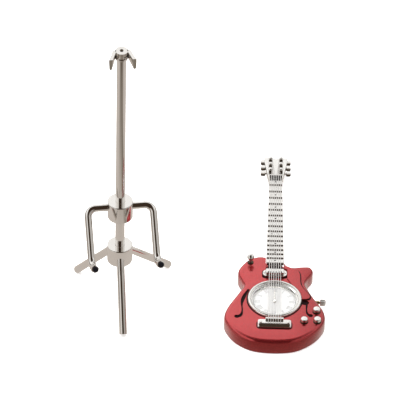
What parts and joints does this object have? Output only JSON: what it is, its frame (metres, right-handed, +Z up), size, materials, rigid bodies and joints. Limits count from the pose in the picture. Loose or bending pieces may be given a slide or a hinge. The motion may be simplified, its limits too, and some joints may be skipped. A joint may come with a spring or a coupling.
{
  "type": "miniature guitar clock with stand",
  "caption": "Miniature cutaway electric guitar with a round clock set in its red body and silver hardware, lying beside its upright chrome tripod display stand.",
  "frame": {"origin": "on the table surface, in the middle of the common box of the stand and the guitar beside it", "axes": "+Z up; +Y along the guitar from its tail to its head; +X from the stand to the guitar"},
  "size_m": [0.1236, 0.1379, 0.1549],
  "materials": {
    "chrome_stand": "bright chrome plate on steel",
    "silver_cast": "bright silver plate on zinc casting",
    "red_lacquer": "glossy translucent metallic red over a zinc casting",
    "plug_rubber": "black rubber",
    "screw_black": "blackened steel",
    "slot_black": "dark enamel in the recess",
    "brushed_back": "brushed sheet",
    "string_steel": "bright wire",
    "lens_glass": "clear",
    "dial_paper": "satin silver-white",
    "numeral_ink": "grey printed numerals",
    "movement_plastic": "black moulded housing",
    "brass_gear": "brass"
  },
  "bodies": {
    "stand": {"base_collar": "chrome_stand", "front_leg": "chrome_stand", "right_leg": "chrome_stand", "left_leg": "chrome_stand", "base_set_screw": "screw_black", "pole": "chrome_stand", "yoke_screw": "chrome_stand"},
    "arms": {"arm_collar": "chrome_stand", "right_arm": "chrome_stand", "left_arm": "chrome_stand", "right_plug": "plug_rubber", "left_plug": "plug_rubber", "arm_set_screw": "screw_black"},
    "yoke": {"yoke": "chrome_stand", "yoke_set_screw": "screw_black"},
    "guitar": {"body": "red_lacquer", "slot_liners": "slot_black", "back_cover": "brushed_back", "back_screws": "brushed_back", "pick_guard": "red_lacquer", "neck": "silver_cast", "head": "silver_cast", "fingerboard": "silver_cast", "frets": "silver_cast", "position_dots": "slot_black", "nut": "silver_cast", "tuner_posts": "silver_cast", "tuner_buttons": "silver_cast", "strings": "string_steel", "pickup_frame": "silver_cast", "pickup_cover": "silver_cast", "pole_pieces": "slot_black", "pickup_screws": "silver_cast", "tailpiece": "silver_cast", "tailpiece_studs": "silver_cast", "bridge": "silver_cast", "knobs": "silver_cast", "toggle_washer": "screw_black", "toggle_switch": "silver_cast", "clock_case": "silver_cast", "bezel": "silver_cast", "lens": "lens_glass", "dial": "dial_paper", "numerals": "numeral_ink", "movement": "movement_plastic", "battery": "string_steel"},
    "hour_hand": {"hour_hand": "silver_cast", "hour_pipe": "brass_gear"},
    "minute_hand": {"minute_hand": "silver_cast", "minute_arbor": "brass_gear"},
    "crown_tube": {"crown_tube": "brass_gear"},
    "crown": {"crown": "silver_cast", "crown_stem": "brass_gear"}
  },
  "joints": [
    {"name": "guitar_lift", "type": "slide", "parent": "stand", "child": "guitar", "axis": [0, 0, 1], "range_m": [0, 0.06]},
    {"name": "arms_swivel", "type": "hinge", "parent": "stand", "child": "arms", "pos_m": [-0.038, -0.0304, 0.0571], "axis": [0, 0, 1], "range_deg": [-180, 180]},
    {"name": "yoke_swivel", "type": "hinge", "parent": "stand", "child": "yoke", "pos_m": [-0.038, -0.0304, 0.152], "axis": [0, 0, 1], "range_deg": [-180, 180]},
    {"name": "minute_turn", "type": "hinge", "parent": "guitar", "child": "minute_hand", "pos_m": [0.0377, -0.0387, 0.006], "axis": [0, 0, -1], "continuous": true},
    {"name": "hour_turn", "type": "hinge", "parent": "guitar", "child": "hour_hand", "pos_m": [0.0377, -0.0387, 0.006], "axis": [0, 0, -1], "continuous": true},
    {"name": "crown_pull", "type": "slide", "parent": "guitar", "child": "crown_tube", "axis": [1, 0, 0], "range_m": [0, 0.0012]},
    {"name": "crown_turn", "type": "hinge", "parent": "crown_tube", "child": "crown", "pos_m": [0.0597, -0.0358, 0.004], "axis": [1, 0, 0], "continuous": true}
  ],
  "couplings": [
    {"joint": "hour_turn", "follows": "minute_turn", "ratio": 0.083333}
  ]
}
